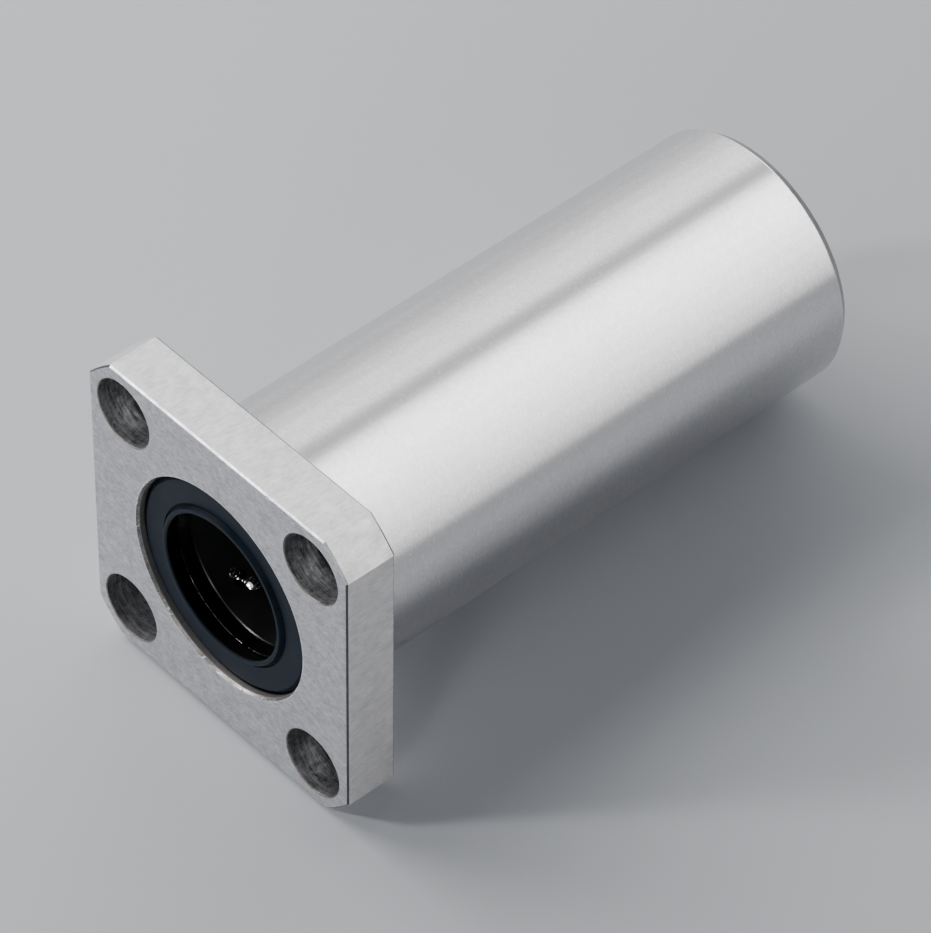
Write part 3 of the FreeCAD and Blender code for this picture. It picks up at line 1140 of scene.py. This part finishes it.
@dataclass(frozen=True)
class Softbox:
    """Rectangular soft light that faces the middle of the bearing.

    Angle is counted about the bore from +X to +Z, and lean is the rise from there towards +Y.
    Across is the light's width round the bore, and along its width towards +Y.
    """

    name: str
    angle: float
    lean: float
    across: float
    along: float
    radiance: float
    reach: Reach = Reach.ALL

    def build(self) -> bpy.types.Object:
        """Builds the light, with its first side running round the bore."""
        data = bpy.data.lights.new(self.name, "AREA")
        data.shape = "RECTANGLE"
        data.size, data.size_y = self.across * MM, self.along * MM
        data.energy = WATTS_TO_RADIANCE * self.radiance * data.size * data.size_y
        angle, lean = math.radians(self.angle), math.radians(self.lean)
        round_bore = Vector((-math.sin(angle), 0, math.cos(angle)))
        away = Vector((math.cos(angle) * math.cos(lean), math.sin(lean), math.sin(angle) * math.cos(lean)))
        axes = Matrix((round_bore, away.cross(round_bore), away)).transposed().to_4x4()
        place = Vector((0, BORE_MIDDLE, 0)) + away * SOFTBOX_DISTANCE
        lamp = bpy.data.objects.new(self.name, data)
        lamp.matrix_world = Matrix.Translation(place * MM) @ axes
        lamp.visible_camera = False
        bpy.context.scene.collection.objects.link(lamp)
        return lamp


@dataclass(frozen=True)
class SoftboxArc:
    """Row of softboxes side by side on an arc about the bore, with a graded radiance.

    Steps are pairs of angle and radiance; the panel between two steps has their mean radiance.
    """

    name: str
    lean: float
    along: float
    steps: tuple[tuple[float, float], ...]
    reach: Reach = Reach.ALL

    def panels(self) -> list[Softbox]:
        """The row's softboxes: each one's width is 2 d cos(lean) tan(half its angle)."""
        row = []
        for number, ((start, first), (end, last)) in enumerate(zip(self.steps, self.steps[1:]), 1):
            half = math.radians(abs(end - start)) / 2
            across = 2 * SOFTBOX_DISTANCE * math.cos(math.radians(self.lean)) * math.tan(half)
            row.append(Softbox(
                f"{self.name}_softbox_{number}", (start + end) / 2, self.lean,
                across, self.along, (first + last) / 2, self.reach,
            ))
        return row


ARCS = (
    SoftboxArc(
        "right", lean=28.0, along=420.0, reach=Reach.PART,
        steps=(
            (97.0, 2.1), (88.0, 3.1), (78.0, 3.6), (66.0, 3.3), (54.0, 2.9), (43.0, 2.45),
            (31.0, 2.0), (20.0, 1.6), (10.0, 1.15), (2.0, 0.8), (-6.0, 0.8),
        ),
    ),
    SoftboxArc("gap", lean=28.0, along=420.0, reach=Reach.PART, steps=((114.0, 0.55), (97.0, 0.5))),
    SoftboxArc(
        "left", lean=30.0, along=1100.0,
        steps=(
            (206.0, 0.45), (188.0, 0.55), (170.0, 0.65), (156.0, 0.85), (142.0, 1.35), (128.0, 1.63),
            (114.0, 1.63),
        ),
    ),
    SoftboxArc(
        "rim", lean=62.0, along=60.0, reach=Reach.PART,
        steps=((140.0, 7.5), (100.0, 9.0), (60.0, 9.0), (20.0, 6.0), (0.0, 2.0)),
    ),
)
SOFTBOXES = (
    Softbox("key_softbox", 140.0, -12.0, across=380.0, along=380.0, radiance=4.3),
    Softbox("bevel_softbox", 137.4, -45.8, across=95.0, along=68.0, radiance=50.0),
    Softbox("corner_softbox", 29.0, -60.3, across=180.0, along=110.0, radiance=7.0),
    Softbox("brow_softbox", 70.0, -38.0, across=700.0, along=420.0, radiance=0.6, reach=Reach.PART),
    Softbox("glint_softbox", 84.0, -58.0, across=260.0, along=200.0, radiance=12.0, reach=Reach.BALLS),
)


@dataclass
class Studio:
    """Pale floor under the resting bearing, soft lights, and the camera at the photo's angle."""

    azimuth: float = 47.3593
    elevation: float = 45.8063
    roll: float = 0.8339
    aim_right: float = 18.9313
    aim_up: float = 8.7752
    distance: float = 578.6038
    focal_pixels: float = 6085.887
    image_height: float = 933.0
    sensor: float = 36.0
    floor_reach: float = 3000.0
    floor_lines: int = 9
    clip: tuple[float, float] = (0.01, 10.0)
    surround: Colour = (0.76, 0.80, 0.88)
    surround_strength: float = 0.15

    def floor_line(self) -> tuple[float, float]:
        """Tilt of the floor, in radians, and its height at the bore's origin.

        The loose bearing lies on the flange's lower back edge and on the barrel's far rim.
        """
        sleeve = FlangedSleeve()
        rest = np.array([-sleeve.edge_break, -sleeve.half])
        rim = np.array([sleeve.rear - sleeve.rim_chamfer_length, -sleeve.barrel_r])
        tilt = math.atan2(rim[1] - rest[1], rim[0] - rest[0])
        return tilt, float(rest[1] - rest[0] * math.tan(tilt))

    def build_floor(self) -> bpy.types.Object:
        """Builds the floor as a large flat grid on the line where the bearing rests."""
        tilt, height = self.floor_line()
        steps = np.linspace(-self.floor_reach, self.floor_reach, self.floor_lines)
        across, along = np.meshgrid(steps, steps * math.cos(tilt))
        points = np.stack([across, along, height + along * math.tan(tilt)], axis=-1)
        shell = Shell()
        shell.add(points)
        floor = shell.build("pale_floor")
        floor.data.materials.append(PALE_PAPER.make())
        normal = Vector((0, -math.sin(tilt), math.cos(tilt)))
        if floor.data.polygons[0].normal.dot(normal) < 0:
            floor.data.flip_normals()
        return floor

    def build_lights(self, floor: bpy.types.Object) -> None:
        """Adds the softboxes and a dim even surround.

        Args:
            floor: Floor, which some softboxes leave unlit so that the shadows stay deep.
        """
        spared = bpy.data.collections.new("all_but_the_floor")
        spared.objects.link(floor)
        spared.collection_objects[0].light_linking.link_state = "EXCLUDE"
        balls = bpy.data.collections.new("balls_alone")
        for name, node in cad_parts.items():
            if "balls" in name:
                balls.objects.link(node)
        receivers = {Reach.PART: spared, Reach.BALLS: balls}
        for softbox in [*SOFTBOXES, *(panel for arc in ARCS for panel in arc.panels())]:
            lamp = softbox.build()
            if softbox.reach in receivers:
                lamp.light_linking.receiver_collection = receivers[softbox.reach]
        world = bpy.data.worlds.new("surround")
        world.use_nodes = True
        background = world.node_tree.nodes["Background"]
        background.inputs["Color"].default_value = (*self.surround, 1)
        background.inputs["Strength"].default_value = self.surround_strength
        bpy.context.scene.world = world

    def build_camera(self) -> None:
        """Places the camera: it looks back along its own axis at a point beside the bearing."""
        a, e, r = map(math.radians, (self.azimuth, self.elevation, self.roll))
        back = np.array([math.sin(a) * math.cos(e), -math.cos(a) * math.cos(e), math.sin(e)])
        level = np.cross([0, 0, 1], back)
        level /= np.linalg.norm(level)
        upright = np.cross(back, level)
        right = math.cos(r) * level + math.sin(r) * upright
        up = math.cos(r) * upright - math.sin(r) * level
        place = right * self.aim_right + up * self.aim_up + back * self.distance
        camera = bpy.data.objects.new("photo_camera", bpy.data.cameras.new("photo_camera"))
        camera.data.sensor_width = self.sensor
        camera.data.lens = self.focal_pixels / self.image_height * self.sensor
        camera.data.clip_start, camera.data.clip_end = self.clip
        axes = Matrix(np.stack([right, up, back], axis=1).tolist()).to_4x4()
        camera.matrix_world = Matrix.Translation(Vector(place.tolist()) * MM) @ axes
        bpy.context.scene.collection.objects.link(camera)
        bpy.context.scene.camera = camera


def stand_in(piece: bpy.types.Object, node: str) -> None:
    """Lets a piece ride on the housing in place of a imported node."""
    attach(piece, HOUSING)
    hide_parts(node)
    LOG.info("%s stands for %s", piece.name, node)


def main() -> None:
    """Builds the bearing's pieces in order, then the studio."""
    logging.basicConfig(level=logging.INFO, format="%(name)s: %(message)s")
    body = FlangedSleeve().build()
    dress(body, SLEEVE_FINISHES)
    stand_in(body, "flanged_sleeve")
    for end in ENDS:
        seal_body, ring_body = EndSeal(end).build(), RetainingRing(end).build()
        dress(seal_body, SEAL_FINISHES)
        dress(ring_body, RING_FINISHES)
        stand_in(seal_body, f"{end}_end_seal")
        stand_in(ring_body, f"{end}_retaining_ring")
    dress_inner_nodes()
    studio = Studio()
    studio.build_lights(studio.build_floor())
    studio.build_camera()


if __name__ == "__main__":
    main()
